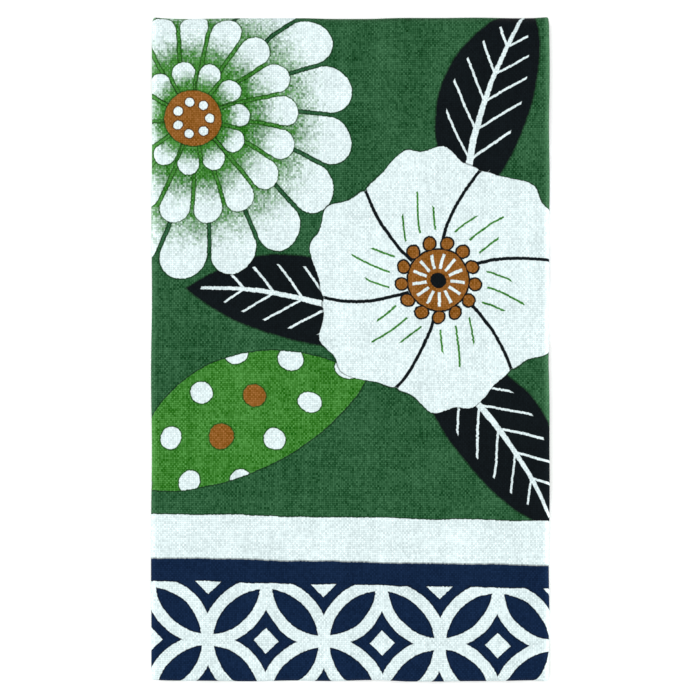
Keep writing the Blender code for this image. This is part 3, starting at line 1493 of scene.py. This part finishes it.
    def faces(self) -> list[tuple[int, ...]]:
        """Faces between neighbouring rows, and then those over the two cut ends.

        Returns:
            The numbers of the points at each face's corners.
        """
        printed = len(self.ply_line)
        around = len(self.ring.flat)
        last = (len(self.rows) - 1) * around
        faces: list[tuple[int, ...]] = []
        for base in range(0, last, around):
            for here in range(around):
                after = (here + 1) % around
                faces.append((base + here, base + after, base + around + after, base + around + here))
        end = [(around - 1, 0, around - 2)]
        end += [(here, here + 1, around - 3 - here, around - 2 - here) for here in range(printed - 1)]
        end.append((printed - 1, printed, printed + 1))
        faces += [face[::-1] for face in end]
        faces += [tuple(last + corner for corner in face) for face in end]
        return faces

    def map_cloth(self, mesh: bpy.types.Mesh) -> None:
        """Writes each point's place on the flat cloth, in millimetres, as the map that is rendered with.

        Args:
            mesh: The cloth's mesh.
        """
        row, column = np.divmod(read_numbers(mesh.loops, "vertex_index"), len(self.ring.flat))
        places = np.stack([self.ring.flat[column], self.flat_lengths[row]], axis=-1)
        write_map(mesh, PLACE_MAP, places / MM)
        mesh.uv_layers[PLACE_MAP].active_render = True

    def map_bake(self, mesh: bpy.types.Mesh) -> None:
        """Writes a map without overlaps, where the face and the underside get nearly all the room.

        Args:
            mesh: The cloth's mesh.
        """
        printed = len(self.ply_line)
        around = len(self.ring.flat)
        sizes = read_numbers(mesh.polygons, "loop_total")
        first_row, first_column = np.divmod(np.repeat(np.arange(len(sizes)), sizes), around)
        row, column = np.divmod(read_numbers(mesh.loops, "vertex_index"), around)
        in_grid = first_row < len(self.rows) - 1
        column = np.where(in_grid & (column == 0) & (first_column == around - 1), around, column)
        owner = first_row.clip(0, len(self.rows) - 1)
        by_face = np.array([Layer.FACE in (each.layer, each.next_layer) for each in self.rows])[owner]
        in_base = self.starts_in(Layer.BASE)[owner, 0]
        face_end = printed - 1 - self.hidden_columns
        on_face = in_grid & by_face & (first_column >= self.hidden_columns) & (first_column < face_end)
        on_base = in_grid & in_base & (first_column >= face_end) & (first_column < printed - 1)
        rounds = outer_lengths(self.ring.places[[*range(around), 0]])
        lengths = self.flat_lengths
        even_rounds = rounds / rounds[-1] + np.arange(around + 1) / around
        even_lengths = lengths / lengths[-1] + np.arange(len(lengths)) / len(lengths)
        places = np.zeros((len(column), 2))
        for chosen, box, across, along in (
            (on_face, self.face_box, rounds, lengths),
            (on_base, self.base_box, rounds, lengths),
            (in_grid & ~on_face & ~on_base, self.rest_box, even_rounds, even_lengths),
        ):
            places[chosen] = box.fit(across[column[chosen]], along[row[chosen]])
        places[~in_grid] = self.cut_places(row[~in_grid], column[~in_grid])
        write_map(mesh, BAKE_MAP, places)

    def cut_places(self, row: np.ndarray, column: np.ndarray) -> np.ndarray:
        """Where the two cut ends' points lie in the narrow box that they share in the baked map.

        Args:
            row: Each point's row.
            column: Its column.

        Returns:
            The places.
        """
        printed = len(self.ply_line)
        left, right, low, high = self.cut_box
        even = np.arange(printed)
        along = np.concatenate([even, [printed - 1 + self.cut_corner], even[::-1], [-self.cut_corner]])
        end_step = right - left - self.cut_width
        u = left + self.ring.reverse[column] * self.cut_width + (row > 0) * end_step
        v = low + (high - low) * (along[column] + 1) / (printed + 1)
        return np.stack([u, v], axis=-1)


@dataclass(frozen=True)
class CutEndThreads:
    """Short loose threads along the raw cut end, underneath the towel."""

    cloth: FoldedCloth
    spacing: float = 0.00112
    thickness: float = 0.00022
    shortest: float = 0.0006
    longest: float = 0.0034
    least_kept: float = 0.4
    lean: float = 0.35
    sag: float = 0.25
    taper: float = 0.45
    sunk: float = 0.0004
    side_width: float = 0.05
    steps: int = 4
    sides: int = 3
    seed: int = 5

    def build(self, material: bpy.types.Material) -> bpy.types.Object:
        """Builds the threads as one mesh.

        Args:
            material: What they are made of.

        Returns:
            The threads.
        """
        line = np.array(self.cloth.ply_line)[:, :2]
        lengths = outer_lengths(line)
        stops = np.arange(self.spacing, lengths[-1] - self.spacing, self.spacing)
        flat_line = self.cloth.ring.flat[: len(line)]
        across, out, flat = (np.interp(stops, lengths, values) for values in (*line.T, flat_line))
        root_x, root_y, root_z = self.cloth.lie(np.stack([across, out], axis=-1))[-1].T[:, :, None, None]
        length, lean = self.draw_shapes(len(stops)).T[:, :, None, None]
        share = np.arange(self.steps + 1)[:, None] / self.steps
        side = np.arange(self.sides)
        angle = 2 * math.pi * side / self.sides
        radius = self.thickness / 2 * (1 - self.taper * share)
        bent = length * share ** 2
        x = root_x + lean * bent + radius * np.cos(angle)
        y = root_y - self.sunk + length * share
        z = np.maximum(self.thickness / 2, root_z - self.sag * bent) + radius * np.sin(angle)
        points = np.stack(np.broadcast_arrays(x, y, z), axis=-1)
        made = new_piece("cut_end_threads", points, self.faces(len(stops)), material)
        u = flat[:, None, None] / MM + side * self.side_width
        v = (self.cloth.flat_lengths[-1] + length * share) / MM
        places = np.stack(np.broadcast_arrays(u, v), axis=-1).reshape(-1, 2)
        write_map(made.data, PLACE_MAP, places[read_numbers(made.data.loops, "vertex_index")])
        return made

    def draw_shapes(self, threads: int) -> np.ndarray:
        """Draws each thread's length, and how far it leans, as a share of that.

        Args:
            threads: How many threads there are.

        Returns:
            The two numbers of each.
        """
        chance = np.random.default_rng(self.seed)
        shapes = []
        for _ in range(threads):
            length = chance.uniform(self.shortest, self.longest) * chance.uniform(self.least_kept, 1.0)
            shapes.append((length, chance.normal(0, self.lean)))
        return np.array(shapes)

    def faces(self, threads: int) -> list[tuple[int, ...]]:
        """Faces round each thread, and over its two ends.

        Args:
            threads: How many threads there are.

        Returns:
            The numbers of the points at each face's corners.
        """
        sides = self.sides
        top = self.steps * sides
        one: list[tuple[int, ...]] = []
        for base in range(0, top, sides):
            for side in range(sides):
                here = base + side
                after = base + (side + 1) % sides
                one.append((here, here + sides, after + sides, after))
        one += [tuple(range(sides)), tuple(reversed(range(top, top + sides)))]
        starts = range(0, threads * (top + sides), top + sides)
        return [tuple(start + corner for corner in face) for start in starts for face in one]


@dataclass(frozen=True)
class AreaLamp:
    """A large soft lamp that points at the middle of the towel."""

    name: str
    place: tuple[float, float, float]
    size: float
    power: float

    def build(self) -> bpy.types.Object:
        """Builds the lamp.

        Returns:
            The lamp.
        """
        light = bpy.data.lights.new(self.name, "AREA")
        light.shape = "SQUARE"
        light.size = self.size
        light.energy = self.power
        made = put(self.name, light)
        made.location = self.place
        made.rotation_euler = (-Vector(self.place)).to_track_quat("-Z", "Y").to_euler()
        return made


@dataclass
class Studio:
    """A pale floor, soft light, and a camera straight above the towel."""

    face_height: float
    pixels_per_mm: float = 3.51
    picture_pixels: int = 700
    towel_pixel: tuple[float, float] = (350.4, 349.7)
    lens: float = 180.0
    sensor: float = 36.0
    floor_size: float = 6.0
    floor_dark: Colour = (0.94, 0.94, 0.94, 1.0)
    floor_light: Colour = (0.96, 0.96, 0.96, 1.0)
    floor_cloud: float = 0.4
    floor_roughness: float = 0.9
    floor_glow: float = 0.2
    lamps: tuple[AreaLamp, ...] = (
        AreaLamp("overhead", (0.0, 0.0, 2.0), 0.9, 25.0),
        AreaLamp("key", (-0.9, 0.8, 1.5), 0.9, 6.0),
    )
    white: Colour = (1.0, 1.0, 1.0, 1.0)
    sky: float = 0.4

    def build(self) -> None:
        """Builds the floor, the lamps, the sky and the camera."""
        self.build_floor()
        for lamp in self.lamps:
            lamp.build()
        self.build_sky()
        self.build_camera()
        bpy.context.scene.view_settings.view_transform = "Standard"

    def build_floor(self) -> bpy.types.Object:
        """Builds the pale floor, which glows a little, as a studio's lit-through table does.

        Returns:
            The floor.
        """
        material, sketch = new_material("pale_floor")
        where = sketch.split(sketch.node("ShaderNodeTexCoord").outputs["Object"])
        cloud = sketch.noise(*where, seed=0.0, size=self.floor_cloud)
        finish = {
            "Base Color": sketch.blend(cloud, self.floor_dark, self.floor_light),
            "Roughness": self.floor_roughness,
            "Emission Color": self.white,
            "Emission Strength": self.floor_glow,
        }
        sketch.fill(material.node_tree.nodes["Principled BSDF"], finish)
        corners = np.array([(-1, -1, 0), (1, -1, 0), (1, 1, 0), (-1, 1, 0)]) * self.floor_size / 2
        made = new_piece("floor", corners, [(0, 1, 2, 3)], material)
        return made

    def build_sky(self) -> None:
        """Sets the soft white light from all round."""
        world = bpy.data.worlds.new("studio_sky")
        world.use_nodes = True
        background = world.node_tree.nodes["Background"]
        background.inputs["Color"].default_value = self.white
        background.inputs["Strength"].default_value = self.sky
        bpy.context.scene.world = world

    def build_camera(self) -> bpy.types.Object:
        """Builds the camera, at the height that gives the face its size in the picture.

        Returns:
            The camera.
        """
        camera = bpy.data.cameras.new("camera")
        camera.type = "PERSP"
        camera.lens = self.lens
        camera.sensor_width = self.sensor
        pixel = MM / self.pixels_per_mm
        middle = self.picture_pixels / 2
        distance = self.picture_pixels * pixel * self.lens / self.sensor
        made = put("camera", camera)
        made.location = (
            (middle - self.towel_pixel[0]) * pixel,
            (self.towel_pixel[1] - middle) * pixel,
            self.face_height + distance,
        )
        bpy.context.scene.camera = made
        return made


def main() -> None:
    """Builds the towel and the studio, and hands the towel over to the frame."""
    logging.basicConfig(level=logging.INFO, format="%(name)s: %(message)s")
    low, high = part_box(CLOTH_NODE)
    cloth = FoldedCloth(face_width=high[0] - low[0], face_length=high[1] - low[1])
    weave = Weave().build()
    design = FloralDesign(face_middle=cloth.face_middle).build()
    cotton = DyedCotton(weave, design, cloth.face_width / 2 / MM).build()
    towel = cloth.build(cotton)
    faces = len(towel.data.polygons)
    log.info("cloth: %d faces, flat %.3f by %.3f m", faces, cloth.cloth_width, cloth.cloth_length)
    threads = CutEndThreads(cloth).build(cotton)
    log.info("threads at the cut end: %d faces", len(threads.data.polygons))
    for piece in (towel, threads):
        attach(piece, BODY)
    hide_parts(CLOTH_NODE)
    Studio(face_height=high[2]).build()
    log.info("studio: floor, lamps and camera")


if __name__ == "__main__":
    main()
